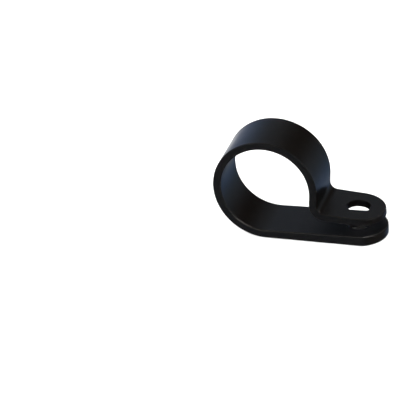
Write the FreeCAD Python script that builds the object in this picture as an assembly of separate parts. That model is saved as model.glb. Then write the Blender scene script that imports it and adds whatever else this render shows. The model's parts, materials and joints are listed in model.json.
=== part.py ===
import FreeCAD, Part
import math
import os

from FreeCAD import Vector

# A one-piece moulded P clip. One strap makes a ring round a cable, a flat base
# that lies on the panel, and a tab that one screw pulls down onto the base.
# The origin is the centre of the fixing hole on the base's underside.
# +Z points away from the panel, +X to the clip's tips, and +Y along the bore.

# Driving dimensions, in millimetres and degrees
bore_diameter = 19.0        # cable that the ring takes
strap_width = 11.6          # along the bore
ring_wall = 1.7             # ring and strand
tab_thickness = 1.6         # upper leg
base_thickness = 2.15       # lower leg, at the fixing hole
hole_diameter = 5.0         # clears an M5 or No. 10 screw
hole_setback = 7.3          # ring's outer face to the fixing hole's axis
tab_gap = 2.6               # base to tab at the fixing hole, as moulded
tab_slope = 4.0             # how far the tab falls towards its tip
strand_lean = 3.5           # how far the strand under the ring leans inwards
corner_radius = 1.6         # concave corner between the strand and the tab
end_overhang = 0.3          # how far the base's end stands out past the tab's
end_blend = 2.5             # corner between the base's end and its sides
edge_radius = 0.3           # rounding of the edges on the strap's outer side
edge_bevel = 0.25           # bevel of the edges on its inner side, which faces the cable
rim_bevel = 0.2             # bevel of the holes' rims

# Sizes that follow from the driving dimensions
bore_radius = bore_diameter / 2
ring_radius = bore_radius + ring_wall
ring_x = -(ring_radius + hole_setback)
half_width = strap_width / 2
base_end_radius = half_width + end_overhang
reach = 2 * base_end_radius             # past both tips, then trimmed to the outline
tab_top = base_thickness + tab_gap + tab_thickness
between_legs = base_thickness + tab_gap / 2
lean = math.radians(strand_lean)
slope = math.radians(tab_slope)
tab_up = Vector(math.sin(slope), 0, math.cos(slope))
tab_forward = Vector(math.cos(slope), 0, -math.sin(slope))
smooth_angle = math.radians(5)          # faces that turn by less are one surface
touching = 1e-4                         # edges that are nearer than this lie on a face


def on_circle(centre, radius, angle):
    """A point of a circle in the side view, at an angle from +X towards +Z."""
    return centre + Vector(math.cos(angle), 0, math.sin(angle)) * radius


def arc(centre, radius, from_angle, to_angle):
    """An arc in the side view, through the point half way between its ends."""
    middle_angle = (from_angle + to_angle) / 2
    ends_and_middle = [on_circle(centre, radius, a) for a in (from_angle, middle_angle, to_angle)]
    return Part.Arc(*ends_and_middle).toShape()


def corner_centre(point_a, normal_a, point_b, normal_b, radius):
    """The centre of an arc of this radius that touches two lines.

    Each line has a point and the normal on the arc's side. The centre is as far
    as the radius from both, which is two equations for its x and z.
    """
    level_a = point_a.dot(normal_a) + radius
    level_b = point_b.dot(normal_b) + radius
    cross = normal_a.x * normal_b.z - normal_a.z * normal_b.x
    x = (level_a * normal_b.z - level_b * normal_a.z) / cross
    z = (level_b * normal_a.x - level_a * normal_b.x) / cross
    return Vector(x, 0, z)


def strap_sides():
    """The side view of the strap as two open lines, each from the base's tip to the tab's.

    The outer line is the underside, the ring, the strand, the corner and the tab's
    top. The inner line is the base's top, the bore, the strand, the bend and the
    tab's underside.
    """
    ring_centre = Vector(ring_x, 0, ring_radius)
    strand_out = Vector(math.cos(lean), 0, -math.sin(lean))
    strand_outer = on_circle(ring_centre, ring_radius, -lean)
    strand_inner = on_circle(ring_centre, bore_radius, -lean)

    # The base's top touches the bore and thickens towards the tip
    base_top = Vector(0, 0, base_thickness)
    sight = base_top - ring_centre
    sight_angle = math.atan2(sight.z, sight.x)
    touch_angle = sight_angle - math.acos(bore_radius / sight.Length)
    base_touch = on_circle(ring_centre, bore_radius, touch_angle)
    base_rise = (base_top - base_touch).normalize()
    base_tip = base_top + base_rise * reach

    # The strand turns into the tab round two arcs, one on each side of the strap
    tab_top_point = Vector(0, 0, tab_top)
    tab_under_point = tab_top_point - tab_up * tab_thickness
    bend_radius = corner_radius + ring_wall
    corner = corner_centre(strand_outer, strand_out, tab_top_point, tab_up, corner_radius)
    bend = corner_centre(strand_inner, strand_out, tab_under_point, tab_up, bend_radius)
    at_strand = math.pi - lean
    at_tab = 1.5 * math.pi - slope
    tab_top_tip = tab_top_point + tab_forward * reach
    tab_under_tip = tab_under_point + tab_forward * reach

    outer = [
        Part.makeLine(Vector(base_tip.x, 0, 0), Vector(ring_x, 0, 0)),
        arc(ring_centre, ring_radius, 1.5 * math.pi, -lean),
        Part.makeLine(strand_outer, on_circle(corner, corner_radius, at_strand)),
        arc(corner, corner_radius, at_strand, at_tab),
        Part.makeLine(on_circle(corner, corner_radius, at_tab), tab_top_tip),
    ]
    inner = [
        Part.makeLine(base_tip, base_touch),
        arc(ring_centre, bore_radius, touch_angle + 2 * math.pi, -lean),
        Part.makeLine(strand_inner, on_circle(bend, bend_radius, at_strand)),
        arc(bend, bend_radius, at_strand, at_tab),
        Part.makeLine(on_circle(bend, bend_radius, at_tab), tab_under_tip),
    ]
    return Part.Wire(outer), Part.Wire(inner)


def across(side_view):
    """A side view drawn out along Y, past both sides of the strap."""
    start = side_view.translated(Vector(0, -strap_width, 0))
    return start.extrude(Vector(0, 2 * strap_width, 0))


def end_line(outer, inner, end):
    """The line that closes the strap's side view at its first or last end."""
    return Part.makeLine(outer.OrderedVertexes[end].Point, inner.OrderedVertexes[end].Point)


def leg_room(end_radius, low, high):
    """The space of a leg: straight sides, and an end round the fixing hole's axis."""
    start = ring_x - 2 * ring_radius
    side_end = math.sqrt(end_radius ** 2 - half_width ** 2)
    right = Vector(side_end, -half_width, low)
    left = Vector(side_end, half_width, low)
    back_right = Vector(start, -half_width, low)
    back_left = Vector(start, half_width, low)
    edges = [
        Part.makeLine(back_right, right),
        Part.Arc(right, Vector(end_radius, 0, low), left).toShape(),
        Part.makeLine(left, back_left),
        Part.makeLine(back_left, back_right),
    ]
    return Part.Face(Part.Wire(edges)).extrude(Vector(0, 0, high - low))


def strap_room():
    """The space of both legs: the base's fuller end below, the tab's round end above."""
    below = leg_room(base_end_radius, -ring_radius, between_legs)
    corners = [e for e in below.Edges if is_upright(e) and e.CenterOfMass.x > 0]
    below = below.makeFillet(end_blend, corners)
    above = leg_room(half_width, between_legs, 3 * ring_radius)
    return below.fuse(above).removeSplitter()


def is_upright(edge):
    """Whether an edge is a straight line along Z."""
    box = edge.BoundBox
    return box.ZLength > 0 and box.XLength + box.YLength < 1e-6


def is_sharp(shape, edge):
    """Whether the two faces that meet at an edge turn by more than the smooth angle."""
    middle = edge.valueAt((edge.FirstParameter + edge.LastParameter) / 2)
    normals = []
    for face in shape.ancestorsOfType(edge, Part.Face):
        normals.append(face.normalAt(*face.Surface.parameter(middle)))
    return len(normals) == 2 and normals[0].getAngle(normals[1]) > smooth_angle


def sharp_edges_on(shape, skin):
    """The shape's sharp edges that lie on one skin of the strap."""
    edges = []
    for edge in shape.Edges:
        middle = Part.Vertex(edge.valueAt((edge.FirstParameter + edge.LastParameter) / 2))
        if skin.distToShape(middle)[0] < touching and is_sharp(shape, edge):
            edges.append(edge)
    return edges


def drill(shape, middle, axis, depth):
    """A hole for the screw right through one leg, with both rims bevelled."""
    start = middle - axis * depth
    shape = shape.cut(Part.makeCylinder(hole_diameter / 2, 2 * depth, start, axis))
    rims = []
    for edge in shape.Edges:
        from_axis = (edge.CenterOfMass - middle).cross(axis).Length
        is_round = isinstance(edge.Curve, (Part.Circle, Part.Ellipse))
        is_near = (edge.CenterOfMass - middle).Length < depth
        if edge.isClosed() and is_round and is_near and from_axis < rim_bevel:
            rims.append(edge)
    return shape.makeChamfer(rim_bevel, rims)


def p_clip():
    """The whole clip: the side view drawn out, trimmed in plan, edged and drilled."""
    outer, inner = strap_sides()
    ends = [end_line(outer, inner, 0), end_line(outer, inner, -1)]
    profile = Part.Face(Part.Wire(Part.__sortEdges__(outer.Edges + inner.Edges + ends)))
    strap = across(profile).common(strap_room())
    strap = strap.makeFillet(edge_radius, sharp_edges_on(strap, across(outer)))
    strap = strap.makeChamfer(edge_bevel, sharp_edges_on(strap, across(inner)))
    tab_middle = Vector(0, 0, tab_top - tab_thickness / 2)
    strap = drill(strap, Vector(0, 0, base_thickness / 2), Vector(0, 0, 1), base_thickness)
    strap = drill(strap, tab_middle, tab_up, tab_thickness)
    return strap


os.makedirs("parts", exist_ok=True)
clip = p_clip()
solid = clip.Solids[0]
print("valid", clip.isValid(), "solids", len(clip.Solids), "volume", round(solid.Volume, 2))
solid.exportStep("parts/p_clip.step")
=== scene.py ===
import json
import math

import bmesh
import bpy
import numpy as np
from mathutils import Matrix, Vector


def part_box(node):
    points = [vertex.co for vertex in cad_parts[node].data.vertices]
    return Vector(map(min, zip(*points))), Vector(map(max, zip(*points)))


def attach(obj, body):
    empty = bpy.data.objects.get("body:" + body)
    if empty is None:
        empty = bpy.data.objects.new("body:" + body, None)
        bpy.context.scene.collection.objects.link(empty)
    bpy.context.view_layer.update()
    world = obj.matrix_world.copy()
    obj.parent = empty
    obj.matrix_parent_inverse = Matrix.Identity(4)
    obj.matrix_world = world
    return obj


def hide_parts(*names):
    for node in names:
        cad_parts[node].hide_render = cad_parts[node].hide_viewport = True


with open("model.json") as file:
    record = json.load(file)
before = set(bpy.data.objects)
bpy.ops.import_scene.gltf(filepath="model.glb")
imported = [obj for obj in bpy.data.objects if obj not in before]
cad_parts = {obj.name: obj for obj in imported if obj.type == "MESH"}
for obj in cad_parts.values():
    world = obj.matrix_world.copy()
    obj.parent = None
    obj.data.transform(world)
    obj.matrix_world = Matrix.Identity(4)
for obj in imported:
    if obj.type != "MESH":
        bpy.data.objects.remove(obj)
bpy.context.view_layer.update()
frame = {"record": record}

# A one-piece moulded P clip of black nylon 66, lying on its flat base. The strap
# is worked out in millimetres and becomes metres when its mesh is made.
# Side view: x runs from the ring to the tips and z away from the panel.
# y runs along the bore.
MM = 0.001

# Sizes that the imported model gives
mounts = {m["name"]: m for m in frame["record"]["mounts"]}
high_corner = np.array(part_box("p_clip")[1]) / MM
bore_radius = mounts["cable_bore"]["dims"]["r_mm"]
ring_centre = np.array(mounts["cable_bore"]["pos_m"])[[0, 2]] / MM
ring_radius = ring_centre[1]
ring_wall = ring_radius - bore_radius
hole_radius = mounts["fixing_hole"]["dims"]["r_mm"]
base_thickness = mounts["fixing_hole"]["dims"]["length_mm"]
tab_thickness = mounts["tab_hole"]["dims"]["length_mm"]
tab_middle = np.array(mounts["tab_hole"]["pos_m"])[[0, 2]] / MM
tab_up = np.array(mounts["tab_hole"]["axis"])[[0, 2]]
half_width = high_corner[1]
base_end_radius = high_corner[0]

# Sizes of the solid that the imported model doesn't name, in millimetres
STRAND_LEAN = math.radians(3.5)
CORNER_RADIUS = 1.6
END_BLEND = 2.5
EDGE_OUT = (0.20, 0.50)     # rounding of the outer side's edges: inwards and into the thickness
EDGE_IN = (0.30, 0.28)      # rounding of the inner side's edges, which face the cable
RIM = (0.12, 0.12)          # rounding of the holes' rims, outwards and into the thickness

# How finely the surfaces are drawn, in millimetres
GRID_STEP = 0.3
EDGE_STEPS = 8
WALL_STEPS = 4
SUPPORT = 0.05              # width of the narrow faces beside a rounding
LEG_START = -5.9            # where the strip ends and the rings round the holes begin
SAME_POINT = 1e-4


def counted(length):
    """How many grid steps a length takes, at least three."""
    return max(3, int(math.ceil(length / GRID_STEP)))


def line(start, end):
    """Points of a straight run, evenly spaced, both ends included."""
    start, end = np.asarray(start, float), np.asarray(end, float)
    share = np.linspace(0, 1, counted(np.linalg.norm(end - start)) + 1)
    return start + (end - start) * share[:, None]


def circle(centre, radius, angles):
    """Points at angles from +X towards the second axis, round a centre."""
    return np.asarray(centre) + radius * np.stack([np.cos(angles), np.sin(angles)], axis=-1)


def even_angles(radius, start, end):
    """Angles from start to end, a grid step apart on a circle of this radius."""
    return np.linspace(start, end, counted(abs(end - start) * radius) + 1)


def corner_centre(point_a, normal_a, point_b, normal_b, radius):
    """The centre of an arc that touches two lines: its distance to both is the radius."""
    normals = np.array([normal_a, normal_b])
    levels = [np.dot(point_a, normal_a) + radius, np.dot(point_b, normal_b) + radius]
    return np.linalg.solve(normals, levels)


# The base's top is a line that touches the bore and rises to the fixing hole
to_hole = np.array([0, base_thickness]) - ring_centre
touch_angle = math.atan2(to_hole[1], to_hole[0])
touch_angle -= math.acos(bore_radius / np.linalg.norm(to_hole))
base_touch = circle(ring_centre, bore_radius, np.array(touch_angle))
base_rise = (base_thickness - base_touch[1]) / -base_touch[0]

# The tab's two faces are lines square to the tab hole's axis
tab_slope = math.atan2(tab_up[0], tab_up[1])
tab_top_z = tab_middle[1] + tab_thickness / 2
tab_under_z = tab_top_z - tab_thickness / math.cos(tab_slope)


def base_under(x):
    """Height of the base's underside."""
    return np.zeros_like(x)


def base_top(x):
    """Height of the base's top."""
    return base_thickness + base_rise * x


def tab_top(x):
    """Height of the tab's top."""
    return tab_top_z - math.tan(tab_slope) * x


def tab_under(x):
    """Height of the tab's underside."""
    return tab_under_z - math.tan(tab_slope) * x


def side_lines():
    """The strap's outer and inner side lines, point for point, from base to tab.

    Each is a straight base, an arc round the bore, the straight strand, the arc
    of the corner, and the straight tab.
    """
    strand_out = np.array([math.cos(STRAND_LEAN), -math.sin(STRAND_LEAN)])
    strand_ends = [ring_centre + strand_out * r for r in (ring_radius, bore_radius)]
    tab_points = [np.array([0, tab_top_z]), np.array([0, tab_under_z])]
    bends = [CORNER_RADIUS, CORNER_RADIUS + ring_wall]
    turn = [math.pi - STRAND_LEAN, 1.5 * math.pi - tab_slope]
    leg_heights = [(base_under, tab_top), (base_top, tab_under)]
    ring_starts = [1.5 * math.pi, touch_angle + 2 * math.pi]
    ring_steps = np.linspace(0, 1, counted(ring_radius * (1.5 * math.pi + STRAND_LEAN)) + 1)
    turn_steps = even_angles(bends[1], *turn)
    lines = []
    for side, radius in enumerate((ring_radius, bore_radius)):
        on_base, on_tab = leg_heights[side]
        start = np.array([LEG_START, on_base(LEG_START)])
        angles = ring_starts[side] + (-STRAND_LEAN - ring_starts[side]) * ring_steps
        ring = circle(ring_centre, radius, angles)
        centre = corner_centre(strand_ends[side], strand_out,
                               tab_points[side], tab_up, bends[side])
        corner = circle(centre, bends[side], turn_steps)
        end = np.array([LEG_START, on_tab(LEG_START)])
        lines.append([(start, ring[0]), ring, (ring[-1], corner[0]), corner, (corner[-1], end)])
    outer, inner = [], []
    for one, other in zip(*lines):
        if isinstance(one, tuple):
            steps = np.linspace(0, 1, counted(np.linalg.norm(one[1] - one[0])) + 1)[:, None]
            one = one[0] + (one[1] - one[0]) * steps
            other = other[0] + (other[1] - other[0]) * steps
        outer.append(one if not outer else one[1:])
        inner.append(other if not inner else other[1:])
    return np.concatenate(outer), np.concatenate(inner)


def columns(edge):
    """The y of the strip's columns: even ones, and a close pair beside each edge."""
    flat = half_width - edge[0]
    even = np.linspace(-flat + SUPPORT, flat - SUPPORT, 2 * counted(half_width) + 1)
    return np.concatenate([[-flat], even, [flat]])


def wall_section(size, first_edge, second_edge):
    """Across a wall: insets from the outline, depths from the first face, and the pale-edge mask
    (wear and painted highlight).

    A quarter ellipse leads from the first face into the wall, straight steps with
    a close pair at each end cross it, and a quarter ellipse leads out to the
    second face. The steps are shares of the straight part, so walls of two
    thicknesses still meet point for point. The mask of pale edges, wear that is
    also a painted highlight in places, rises from 0 at both ends of the second
    rounding to 1 at its middle, as the sine of twice the turn.
    """
    size = np.asarray(size)[..., None]
    turn = np.linspace(0, math.pi / 2, EDGE_STEPS + 1)
    along, into = 1 - np.sin(turn), 1 - np.cos(turn)
    start, end = first_edge[1] + SUPPORT, size - second_edge[1] - SUPPORT
    straight = start + np.linspace(0, 1, WALL_STEPS) * (end - start)
    first = np.broadcast_to(first_edge[1] * into, (*straight.shape[:-1], len(into)))
    second = size - second_edge[1] * into[::-1]
    insets = [first_edge[0] * along, np.zeros(WALL_STEPS), second_edge[0] * along[::-1]]
    wear_and_highlight_mask = [np.zeros(len(turn) + WALL_STEPS), np.sin(2 * turn)]
    depths = np.concatenate([first, straight, second], axis=-1)
    return np.concatenate(insets), depths, np.concatenate(wear_and_highlight_mask)


def strip_skin(side_line, edge):
    """One broad face of the strap up to the legs' ends: the side line drawn out along y."""
    y = columns(edge)
    points = np.empty((len(side_line), len(y), 3))
    points[..., 0] = side_line[:, None, 0]
    points[..., 1] = y
    points[..., 2] = side_line[:, None, 1]
    return points


def strip_wall(outer, inner, side):
    """One side wall of the strap up to the legs' ends, from the outer line to the inner one."""
    gap = inner - outer
    size = np.linalg.norm(gap, axis=1)
    insets, depths, wear_and_highlight_mask = wall_section(size, EDGE_OUT, EDGE_IN)
    flat = outer[:, None] + (gap / size[:, None])[:, None] * depths[..., None]
    y = np.broadcast_to(side * (half_width - insets), depths.shape)
    return np.stack([flat[..., 0], y, flat[..., 1], np.broadcast_to(wear_and_highlight_mask, y.shape)], axis=-1)


def end_outline(radius, blend):
    """The outline of a leg's end in plan, from one side to the other, with its inward normals.

    It runs along a side, round a blend where the end stands out past the
    straight sides, and along the end's arc round the fixing hole.
    """
    if radius - half_width < SAME_POINT:
        side_end, arc_end = 0.0, math.pi / 2
        corner = np.empty((0, 2))
        corner_normals = np.empty((0, 2))
    else:
        side_y = half_width - blend
        side_end = math.sqrt((radius - blend) ** 2 - side_y ** 2)
        arc_end = math.atan2(side_y, side_end)
        angles = even_angles(blend, -math.pi / 2, -arc_end)
        corner = circle([side_end, -side_y], blend, angles)[1:]
        corner_normals = -circle([0, 0], 1, angles)[1:]
    straight = line([LEG_START, -half_width], [side_end, -half_width])
    straight_normals = np.tile([0.0, 1.0], (len(straight), 1))
    arc_angles = even_angles(radius, -arc_end, 0)[1:]
    half = np.concatenate([straight, corner, circle([0, 0], radius, arc_angles)])
    normals = np.concatenate([straight_normals, corner_normals, -circle([0, 0], 1, arc_angles)])
    mirror = np.array([1, -1])
    return (np.concatenate([half, half[-2::-1] * mirror]),
            np.concatenate([normals, normals[-2::-1] * mirror]))


def end_wall(outline, normals, first_height, second_height):
    """The upright wall round a leg's end, with both edges rounded."""
    insets, _, wear_and_highlight_mask = wall_section(1.0, EDGE_OUT, EDGE_IN)
    plan = outline[:, None] + normals[:, None] * insets[:, None]
    first, second = first_height(plan[..., 0]), second_height(plan[..., 0])
    depths = wall_section(np.abs(second - first), EDGE_OUT, EDGE_IN)[1]
    depth = np.diagonal(depths, axis1=1, axis2=2)
    z = first + np.sign(second - first) * depth
    return np.stack([plan[..., 0], plan[..., 1], z, np.broadcast_to(wear_and_highlight_mask, z.shape)], axis=-1)


def rim_axis(leg):
    """The middle and direction of a leg's hole in the side view."""
    if leg == "tab":
        return tab_middle, tab_up
    return np.array([0.0, base_thickness / 2]), np.array([0.0, 1.0])


def hole_points(middle, up, angles, radius, height):
    """Points round a hole's axis, at a radius and at heights along the axis."""
    along = np.array([up[1], -up[0]])
    flat = (middle + (np.cos(angles) * radius)[..., None] * along
            + np.asarray(height)[..., None] * up)
    return np.stack([flat[..., 0], np.sin(angles) * radius, flat[..., 1]], axis=-1)


def face_height(middle, up, height_of, angles, radius):
    """How far along a hole's axis a leg's face lies, at these angles and this radius."""
    along = np.array([up[1], -up[0]])
    reach = np.cos(angles) * radius
    slope = height_of(np.array(1.0)) - height_of(np.array(0.0))
    at = middle + reach[..., None] * along
    return (height_of(at[..., 0]) - at[..., 1]) / (up[1] - slope * up[0])


def hole_wall(middle, up, angles, first_height, second_height):
    """The wall of a screw hole with both rims rounded, as rings round the hole's axis."""
    insets = wall_section(1.0, RIM, RIM)[0]
    radius = hole_radius + np.broadcast_to(insets, (len(angles), len(insets)))
    turned = np.broadcast_to(angles[:, None], radius.shape)
    first = face_height(middle, up, first_height, turned, radius)
    second = face_height(middle, up, second_height, turned, radius)
    depths = wall_section(np.abs(second - first), RIM, RIM)[1]
    depth = np.diagonal(depths, axis1=1, axis2=2)
    return hole_points(middle, up, turned, radius, first + np.sign(second - first) * depth)


def ring_angles(outline):
    """The angles of the rings' points round a hole: one for each point that the rings reach."""
    back_y = columns(EDGE_OUT)[2:-2][::-1]
    back = np.stack([np.full(len(back_y), LEG_START), back_y], axis=-1)
    reached = np.concatenate([outline, back])
    return np.arctan2(reached[:, 1], reached[:, 0])


def leg_skin(outline, normals, middle, up, angles, height_of, edge):
    """One broad face of a leg's end, as rings from the hole's rim to the outline.

    The outermost two rings are the close pair beside the rounded edge, and the
    rings between run straight from the rim to them. The row of the strip's
    columns closes the outline.
    """
    outermost = outline + normals * edge[0]
    beside = outline + normals * (edge[0] + SUPPORT)
    close_pair = np.stack([outermost, beside], axis=1)
    close_pair = np.concatenate([close_pair, height_of(close_pair[..., 0])[..., None]], axis=-1)
    back_y = columns(edge)[2:-2][::-1]
    back = np.stack([np.full(len(back_y), LEG_START), back_y], axis=-1)
    loop = np.concatenate([beside, back])
    loop_points = np.concatenate([loop, height_of(loop[:, 0])[:, None]], axis=-1)
    rim_points = []
    for radius in (hole_radius + RIM[0], hole_radius + RIM[0] + SUPPORT):
        height = face_height(middle, up, height_of, angles, np.full(len(angles), radius))
        rim_points.append(hole_points(middle, up, angles, radius, height))
    steps = np.linspace(0, 1, counted(half_width - hole_radius) + 1)[:, None, None]
    rings = rim_points[1] + (loop_points - rim_points[1]) * steps
    rings = np.concatenate([rim_points[0][None], rings])
    return close_pair, rings.swapaxes(0, 1)


def grid_faces(rows, cols, start, closed):
    """Quads of a grid with points numbered from start; a closed one joins its last row."""
    index = start + np.arange(rows * cols).reshape(rows, cols)
    after = np.roll(index, -1, axis=0) if closed else index[1:]
    index = index if closed else index[:-1]
    quads = np.stack([index[:, :-1], after[:, :-1], after[:, 1:], index[:, 1:]], axis=-1)
    return quads.reshape(-1, 4)


def strap_grids():
    """Every surface of the strap as (grid of points, whether its rows close)."""
    outer, inner = side_lines()
    grids = [
        (strip_skin(outer, EDGE_OUT), False),
        (strip_skin(inner, EDGE_IN), False),
        (strip_wall(outer, inner, -1), False),
        (strip_wall(outer, inner, 1), False),
    ]
    legs = [
        ("base", base_end_radius, base_under, base_top),
        ("tab", half_width, tab_top, tab_under),
    ]
    for leg, radius, *faces in legs:
        outline, normals = end_outline(radius, END_BLEND)
        middle, up = rim_axis(leg)
        angles = ring_angles(outline)
        grids.append((end_wall(outline, normals, *faces), False))
        for height_of, edge in zip(faces, (EDGE_OUT, EDGE_IN)):
            close_pair, rings = leg_skin(outline, normals, middle, up, angles, height_of, edge)
            grids.append((close_pair, False))
            grids.append((rings, True))
        grids.append((hole_wall(middle, up, angles, *faces), True))
    return grids


def joined_mesh(name, grids):
    """One closed mesh from grids that share their border points, with its faces outwards.

    A grid of four numbers a point has the point's pale-edge mask (wear and painted
    highlight) as the fourth, and it is 0 on the others. The mesh keeps it as a point attribute.
    """
    points, wear_and_highlight_mask, faces, start = [], [], [], 0
    for grid, closed in grids:
        rows, cols, numbers = grid.shape
        points.append(grid[..., :3].reshape(-1, 3))
        wear_and_highlight_mask.append(grid[..., 3].ravel() if numbers > 3 else np.zeros(rows * cols))
        faces.append(grid_faces(rows, cols, start, closed))
        start += rows * cols
    mesh = bpy.data.meshes.new(name)
    mesh.from_pydata((np.concatenate(points) * MM).tolist(), [], np.concatenate(faces).tolist())
    worn_and_highlit = mesh.attributes.new("edge_wear_and_highlight", "FLOAT", "POINT")
    worn_and_highlit.data.foreach_set("value", np.concatenate(wear_and_highlight_mask))
    joined = bmesh.new()
    joined.from_mesh(mesh)
    bmesh.ops.remove_doubles(joined, verts=joined.verts, dist=SAME_POINT * MM)
    bmesh.ops.recalc_face_normals(joined, faces=joined.faces)
    joined.to_mesh(mesh)
    joined.free()
    mesh.polygons.foreach_set("use_smooth", np.ones(len(mesh.polygons), bool))
    mesh.update()
    return mesh


# Colours are sRGB hex values or linear strengths, lengths are millimetres and angles degrees

# The nylon
# The second colour pales the inner edges: partly wear, partly painted highlight
NYLON, RUBBED_AND_HIGHLIT_NYLON = "#050402", "#2e2c2a"
NYLON_IOR = 1.53
GLOSS_PATCH = 6.0               # size of the places that differ in gloss
GLOSS_NOISE = (0.3, 0.7)        # span of the noise that the roughnesses belong to
GLOSS_ROUGHNESS = (0.29, 0.35)
GAP_ROUGHNESS = 0.6
GAP_STRETCH = (-17.0, -4.0)     # x over which the faces in the gap turn rough
GAP_MARGIN = (0.28, 0.48)       # heights past the gap over which the roughness ends
GRAIN_SIZE = 0.12
GRAIN_DEPTH = 0.02
GRAIN_STRENGTH = 0.12
WEAR_PATCH = 0.8                # size of the places that are worn more or less
WEAR_NOISE = (0.35, 0.65)       # span of the noise that the patchiness belongs to
WEAR_PATCHINESS = (0.6, 1.2)
WEAR_EVERYWHERE = 0.15

# Where the edges are paled most, as (place, reach): wear, and at the two front places a painted
# highlight
RUBBED_AND_HIGHLIT_SPOTS = [
    # painted highlight on the ring's inner front edge
    ((-23.7, -5.8, 3.2), 3.2),      # ring, low on the left of the front
    # painted highlight on the base's end edge
    ((3.2, -4.9, 2.2), 1.7),        # base's end, at the front
    ((-10.5, 5.8, 16.0), 3.0),      # ring, high at the back
    ((-21.0, 5.8, 2.0), 2.6),       # ring, low at the back
    ((5.6, 2.0, 2.2), 1.8),         # base's end, at the back
]

# The paper
# The second colour is painted shade: the paper is greyer under the clip, where little light gets
PAPER, PAPER_PAINTED_SHADE = "#ececec", "#8a8a8a"
GLOW = 0.9
GLOW_STRETCH = (50.0, 450.0)    # distances over which the glow grows
# A painted pool of light: the paper glows in a patch under the holes, where light would come
# through both
LIT_PATCH = (0.25, -0.75, 0.0)  # middle of what the light reaches through both holes
LIT_STRENGTH = 0.4
LIT_STRETCH = (1.2, 2.1)        # distances from its middle over which it ends
FLOOR_DROP = -0.01              # the paper lies lower than the clip, so they share no face

# The room's soft lights as (direction, full inside this angle, gone at this one, colour)
SOFT_LIGHTS = [
    ((-0.28, 0.83, -0.48), 0, 32, (0.26, 0.21, 0.02)),      # low behind, warm
    ((-0.48, 0.83, -0.28), 0, 32, (0.27, 0.29, 0.42)),      # low behind on the left
    ((-0.55, 0.83, 0.00), 0, 32, (0.09, 0.17, 0.30)),       # level behind on the left, sky blue
    ((-0.37, 0.83, -0.41), 0, 15, (1.65, 1.65, 1.60)),      # low behind on the left, small
    ((-0.28, 0.83, 0.48), 0, 32, (0.08, 0.10, 0.12)),       # high behind
    ((0.42, 0.83, -0.36), 0, 36, (0.08, 0.12, 0.15)),       # low behind on the right
    ((0.10, 0.83, -0.55), 0, 34, (0.02, 0.07, 0.21)),       # low behind, sky blue
    ((-0.28, -0.83, -0.48), 20, 70, (0.100, 0.125, 0.155)), # the table in front
    ((-0.28, 0.20, 0.94), 5, 45, (0.33, 0.33, 0.34)),       # overhead
    ((-0.28, -0.50, 0.82), 5, 36, (0.32, 0.29, 0.24)),      # high in front
    ((-0.80, -0.30, 0.50), 5, 40, (0.40, 0.45, 0.52)),      # left
    ((0.90, -0.15, 0.25), 10, 50, (0.33, 0.34, 0.36)),      # right
    ((0.61, -0.06, 0.79), 4, 24, (0.08, 0.08, 0.08)),       # a small lamp high on the right
    ((-0.62, -0.68, 0.38), 0, 28, (0.22, 0.27, 0.36)),      # in front on the left
    ((0.55, -0.68, 0.48), 0, 28, (0.26, 0.28, 0.33)),       # in front on the right
    ((0.85, 0.48, 0.21), 0, 26, (0.28, 0.31, 0.37)),        # behind on the right
]
ROOM_COLOUR = (0.046, 0.034, 0.033)

# The tent lights that whiten the paper
TENT_TURNS = (65, 155, 245, 335)
TENT_HEIGHT = 44
TENT_WIDTH = 14
TENT_STRENGTH = 3.8


def linear(hex_colour):
    """The linear colour of an sRGB hex value, with alpha 1."""
    parts = np.array([int(hex_colour[i:i + 2], 16) for i in (1, 3, 5)]) / 255
    parts = np.where(parts <= 0.04045, parts / 12.92, ((parts + 0.055) / 1.055) ** 2.4)
    return (*parts.tolist(), 1.0)


SMOOTHLY = {"interpolation_type": "SMOOTHSTEP"}


def add_node(tree, kind, settings=None, **inputs):
    """Adds a node and gives its outputs.

    A setting is an attribute, and an input is a value or a socket to link. An
    input is named by its label, with _ for a space, or by _ and its number.
    """
    node = tree.nodes.new(kind)
    for key, value in (settings or {}).items():
        setattr(node, key, value)
    for key, value in inputs.items():
        socket = node.inputs[int(key[1:]) if key[0] == "_" else key.replace("_", " ")]
        if isinstance(value, bpy.types.NodeSocket):
            tree.links.new(value, socket)
        else:
            socket.default_value = value
    return node.outputs


def new_material(name):
    """A material, its node tree, its shader's inputs and the piece's own coordinates."""
    material = bpy.data.materials.new(name)
    material.use_nodes = True
    tree = material.node_tree
    place = add_node(tree, "ShaderNodeTexCoord")["Object"]
    return material, tree, tree.nodes["Principled BSDF"].inputs, place


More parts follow.
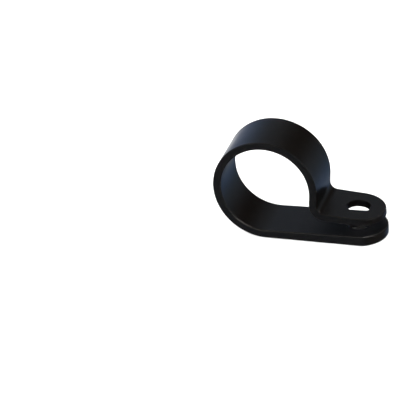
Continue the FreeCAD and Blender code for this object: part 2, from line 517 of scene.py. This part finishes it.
def moulded_nylon():
    """Black nylon 66 as it leaves a lightly spark-eroded mould: semi-gloss, with a fine grain.

    The grain is far too fine to see and only softens the reflections. The gloss
    drifts a little over a few millimetres, as where the melt met a cooler wall.
    The faces in the gap between the legs are rougher, as their side of the mould
    isn't polished. The inner side's edges are a shade paler where the parts rub
    together in their bag, and palest in a few places; the two at the front are painted
    highlights.
    """
    material, tree, shader, place = new_material("moulded_black_nylon_66")
    shader["IOR"].default_value = NYLON_IOR

    # Gloss, and the rougher faces in the gap
    drift = add_node(tree, "ShaderNodeTexNoise", None, Vector=place,
                     Scale=1 / (GLOSS_PATCH * MM), Detail=2.0, Roughness=0.5)
    gloss = add_node(tree, "ShaderNodeMapRange", None, Value=drift["Fac"],
                     From_Min=GLOSS_NOISE[0], From_Max=GLOSS_NOISE[1],
                     To_Min=GLOSS_ROUGHNESS[0], To_Max=GLOSS_ROUGHNESS[1])
    at = add_node(tree, "ShaderNodeSeparateXYZ", None, Vector=place)
    to_tips = add_node(tree, "ShaderNodeMapRange", SMOOTHLY, Value=at["X"],
                       From_Min=GAP_STRETCH[0] * MM, From_Max=GAP_STRETCH[1] * MM)
    gap_middle, half_gap = (tab_under_z + base_thickness) / 2, (tab_under_z - base_thickness) / 2
    above_middle = add_node(tree, "ShaderNodeMath", {"operation": "SUBTRACT"},
                            _0=at["Z"], _1=gap_middle * MM)
    off_middle = add_node(tree, "ShaderNodeMath", {"operation": "ABSOLUTE"},
                          _0=above_middle["Value"])
    in_gap = add_node(tree, "ShaderNodeMapRange", None, Value=off_middle["Value"],
                      From_Min=(half_gap + GAP_MARGIN[0]) * MM,
                      From_Max=(half_gap + GAP_MARGIN[1]) * MM, To_Min=1.0, To_Max=0.0)
    matt = add_node(tree, "ShaderNodeMath", {"operation": "MULTIPLY"},
                    _0=to_tips["Result"], _1=in_gap["Result"])
    roughness = add_node(tree, "ShaderNodeMix", {"data_type": "FLOAT"},
                         _0=matt["Value"], _2=gloss["Result"], _3=GAP_ROUGHNESS)
    tree.links.new(roughness[0], shader["Roughness"])

    # Grain
    grain = add_node(tree, "ShaderNodeTexNoise", None, Vector=place,
                     Scale=1 / (GRAIN_SIZE * MM), Detail=3.0, Roughness=0.6)
    bump = add_node(tree, "ShaderNodeBump", None, Strength=GRAIN_STRENGTH,
                    Distance=GRAIN_DEPTH * MM, Height=grain["Fac"])
    tree.links.new(bump["Normal"], shader["Normal"])

    # Paler edges, as wear and as painted highlights: a little everywhere, and more near each
    # listed place, broken up by noise
    rubbed_and_highlit = WEAR_EVERYWHERE
    for middle, reach in RUBBED_AND_HIGHLIT_SPOTS:
        away = add_node(tree, "ShaderNodeVectorMath", {"operation": "DISTANCE"},
                        _0=place, _1=tuple(c * MM for c in middle))
        near = add_node(tree, "ShaderNodeMapRange", SMOOTHLY, Value=away["Value"],
                        From_Min=0.0, From_Max=reach * MM, To_Min=1.0, To_Max=0.0)
        rubbed_and_highlit = add_node(tree, "ShaderNodeMath", {"operation": "ADD"},
                          _0=rubbed_and_highlit, _1=near["Result"])["Value"]
    patches = add_node(tree, "ShaderNodeTexNoise", None, Vector=place,
                       Scale=1 / (WEAR_PATCH * MM), Detail=2.0)
    uneven = add_node(tree, "ShaderNodeMapRange", None, Value=patches["Fac"],
                      From_Min=WEAR_NOISE[0], From_Max=WEAR_NOISE[1],
                      To_Min=WEAR_PATCHINESS[0], To_Max=WEAR_PATCHINESS[1])
    edge = add_node(tree, "ShaderNodeAttribute", {"attribute_name": "edge_wear_and_highlight"})
    patchy = add_node(tree, "ShaderNodeMath", {"operation": "MULTIPLY"},
                      _0=rubbed_and_highlit, _1=uneven["Result"])
    worn_and_highlit = add_node(tree, "ShaderNodeMath", {"operation": "MULTIPLY", "use_clamp": True},
                    _0=patchy["Value"], _1=edge["Fac"])
    # Mixes in the paler colour: wear, and a painted highlight at the front places
    colour = add_node(tree, "ShaderNodeMix", {"data_type": "RGBA"}, _0=worn_and_highlit["Value"],
                      _6=linear(NYLON), _7=linear(RUBBED_AND_HIGHLIT_NYLON))
    tree.links.new(colour[2], shader["Base Color"])
    return material


def stage_paper():
    """Matt white background paper. Away from the clip it glows, so that it stays plain white.

    Under the clip it is greyer, as painted shade, and a patch glows faintly as a painted
    pool of light where light would fall on it through both holes.
    """
    material, tree, shader, place = new_material("white_background_paper")
    shader["Roughness"].default_value = 1.0
    shader["Specular IOR Level"].default_value = 0.0
    shader["Emission Color"].default_value = linear("#ffffff")

    reach = add_node(tree, "ShaderNodeVectorMath", {"operation": "LENGTH"}, _0=place)
    glow = add_node(tree, "ShaderNodeMapRange", SMOOTHLY, Value=reach["Value"],
                    From_Min=GLOW_STRETCH[0] * MM, From_Max=GLOW_STRETCH[1] * MM,
                    To_Min=0.0, To_Max=GLOW)
    # Painted light: a glowing patch where light would come through both holes
    from_patch = add_node(tree, "ShaderNodeVectorMath", {"operation": "DISTANCE"},
                          _0=place, _1=tuple(c * MM for c in LIT_PATCH))
    patch = add_node(tree, "ShaderNodeMapRange", SMOOTHLY, Value=from_patch["Value"],
                     From_Min=LIT_STRETCH[0] * MM, From_Max=LIT_STRETCH[1] * MM,
                     To_Min=LIT_STRENGTH, To_Max=0.0)
    strength = add_node(tree, "ShaderNodeMath", {"operation": "ADD"},
                        _0=glow["Result"], _1=patch["Result"])
    tree.links.new(strength["Value"], shader["Emission Strength"])

    # Painted shade: the paper turns greyer under the clip
    off_clip = add_node(tree, "ShaderNodeMapRange", SMOOTHLY, Value=reach["Value"],
                        From_Min=hole_radius * MM, From_Max=base_end_radius * MM)
    colour = add_node(tree, "ShaderNodeMix", {"data_type": "RGBA"}, _0=off_clip["Result"],
                      _6=linear(PAPER_PAINTED_SHADE), _7=linear(PAPER))
    tree.links.new(colour[2], shader["Base Color"])
    return material


def soft_world():
    """The studio's dim room with wide soft lights, each a patch that fades out.

    Only reflections see it.
    """
    world = bpy.data.worlds.new("soft_studio")
    world.use_nodes = True
    tree = world.node_tree
    direction = add_node(tree, "ShaderNodeTexCoord")["Generated"]
    total = ROOM_COLOUR
    for middle, full, gone, colour in SOFT_LIGHTS:
        near = add_node(tree, "ShaderNodeVectorMath", {"operation": "DOT_PRODUCT"},
                        _0=direction, _1=tuple(Vector(middle).normalized()))
        share = add_node(tree, "ShaderNodeMapRange", SMOOTHLY, Value=near["Value"],
                         From_Min=math.cos(math.radians(gone)),
                         From_Max=math.cos(math.radians(full)))
        light = add_node(tree, "ShaderNodeVectorMath", {"operation": "SCALE"},
                         _0=colour, Scale=share["Result"])
        total = add_node(tree, "ShaderNodeVectorMath", {"operation": "ADD"},
                         _0=total, _1=light["Vector"])["Vector"]
    tree.links.new(total, tree.nodes["Background"].inputs["Color"])
    world.cycles_visibility.diffuse = False
    bpy.context.scene.world = world


def direction_from(turn, height):
    """The unit vector towards a place at this turn about Z and this height, in radians."""
    level = math.cos(height)
    return Vector((math.sin(turn) * level, -math.cos(turn) * level, math.sin(height)))


def tent_lights():
    """Four soft lights all round that whiten the paper as a light tent does.

    They stand at a height where the clip keeps them out of its lower hole.
    Reflections leave them out.
    """
    for number, turn in enumerate(TENT_TURNS):
        light = bpy.data.lights.new(f"tent_{number}", "SUN")
        light.energy = TENT_STRENGTH
        light.angle = math.radians(TENT_WIDTH)
        lamp = bpy.data.objects.new(f"tent_{number}", light)
        bpy.context.scene.collection.objects.link(lamp)
        from_here = direction_from(math.radians(turn), math.radians(TENT_HEIGHT))
        lamp.rotation_euler = from_here.to_track_quat("Z", "Y").to_euler()
        lamp.visible_glossy = False


def stage_floor():
    """White paper that lies flat under the clip and rises all round it, far away.

    The profile is a straight floor, a quarter circle and an upright wall, in
    metres, turned about Z. Reflections leave it out, so the clip mirrors the dim
    studio and not a blown-out floor.
    """
    near, middle, floor_radius, bend, top = 0.02, 0.5, 1.0, 0.4, 1.6
    turn = np.linspace(0, math.pi / 2, 13)
    profile = np.concatenate([
        [[near, FLOOR_DROP * MM], [middle, FLOOR_DROP * MM]],
        np.stack([floor_radius + bend * np.sin(turn), bend * (1 - np.cos(turn))], axis=-1),
        [[floor_radius + bend, top]],
    ])
    angles = np.linspace(0, 2 * math.pi, 97)[:-1]
    grid = np.empty((len(angles), len(profile), 3))
    grid[..., 0] = np.cos(angles)[:, None] * profile[None, :, 0]
    grid[..., 1] = np.sin(angles)[:, None] * profile[None, :, 0]
    grid[..., 2] = profile[None, :, 1]
    faces = grid_faces(len(angles), len(profile), 0, True)
    inner_ring = (np.arange(len(angles)) * len(profile)).tolist()
    mesh = bpy.data.meshes.new("paper_sweep")
    mesh.from_pydata(grid.reshape(-1, 3).tolist(), [], [*faces.tolist(), inner_ring])
    mesh.materials.append(stage_paper())
    paper = bpy.data.objects.new("paper_sweep", mesh)
    bpy.context.scene.collection.objects.link(paper)
    paper.visible_glossy = False


# Camera: turn and height are the photograph's, and it is tilted sideways by the roll
CAMERA_TURN = math.radians(18.397)
CAMERA_HEIGHT = math.radians(28.708)
CAMERA_ROLL = math.radians(-3.928)
CAMERA_DISTANCE = 0.8588
CAMERA_TARGET = Vector((-0.034687, 0.0002, 0.004196))
CAMERA_FOCAL = 4074.68      # in widths of a four-hundredth of the picture


def add_camera():
    """The camera at the photograph's angle, far off with a long lens."""
    back = direction_from(CAMERA_TURN, CAMERA_HEIGHT)
    level = Vector((math.cos(CAMERA_TURN), math.sin(CAMERA_TURN), 0))
    upright = back.cross(level)
    right = math.cos(CAMERA_ROLL) * level + math.sin(CAMERA_ROLL) * upright
    up = math.cos(CAMERA_ROLL) * upright - math.sin(CAMERA_ROLL) * level
    data = bpy.data.cameras.new("camera")
    data.sensor_width = 36
    data.lens = CAMERA_FOCAL / 400 * data.sensor_width
    data.clip_start, data.clip_end = 0.05, 20
    camera = bpy.data.objects.new("camera", data)
    bpy.context.scene.collection.objects.link(camera)
    turned = Matrix((right, up, back)).transposed().to_4x4()
    camera.matrix_world = Matrix.Translation(CAMERA_TARGET + back * CAMERA_DISTANCE) @ turned
    bpy.context.scene.camera = camera


def add_clip():
    """The strap in the place of its solid, with the moulded finish."""
    mesh = joined_mesh("strap", strap_grids())
    mesh.materials.append(moulded_nylon())
    strap = bpy.data.objects.new("strap", mesh)
    bpy.context.scene.collection.objects.link(strap)
    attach(strap, "root")
    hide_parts("p_clip")


add_clip()
stage_floor()
soft_world()
tent_lights()
add_camera()
bpy.context.scene.view_settings.view_transform = "Standard"
